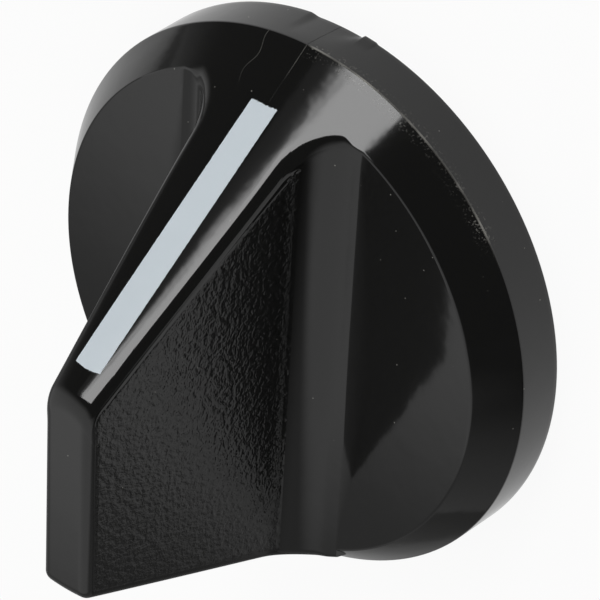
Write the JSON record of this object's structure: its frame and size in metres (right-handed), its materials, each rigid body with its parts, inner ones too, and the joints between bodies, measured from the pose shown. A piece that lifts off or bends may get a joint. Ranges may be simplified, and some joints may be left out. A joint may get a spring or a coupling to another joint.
{
  "type": "stove knob",
  "caption": "Round stove knob with a bevelled skirt, a tall tapered grip blade, a white pointer line on its sloping ridge and a hollow back with a D-shaped stem socket.",
  "frame": {"origin": "centre of the back rim, on the plane that faces the appliance's panel", "axes": "+Z along the turning axis, out of the face; +Y towards the pointer line at 12 o'clock; +X to the right seen from the front"},
  "size_m": [0.0638, 0.0638, 0.0408],
  "materials": {
    "black_plastic": "moulded black plastic, glossy, with a fine eroded grain on the sides of the blade",
    "pointer_white": "stamped pale line, satin",
    "spring_steel": "cold-rolled spring steel strip"
  },
  "bodies": {
    "root": {"knob_body": "black_plastic", "pointer_line": "pointer_white", "stem_spring_clip": "spring_steel"}
  },
  "joints": []
}
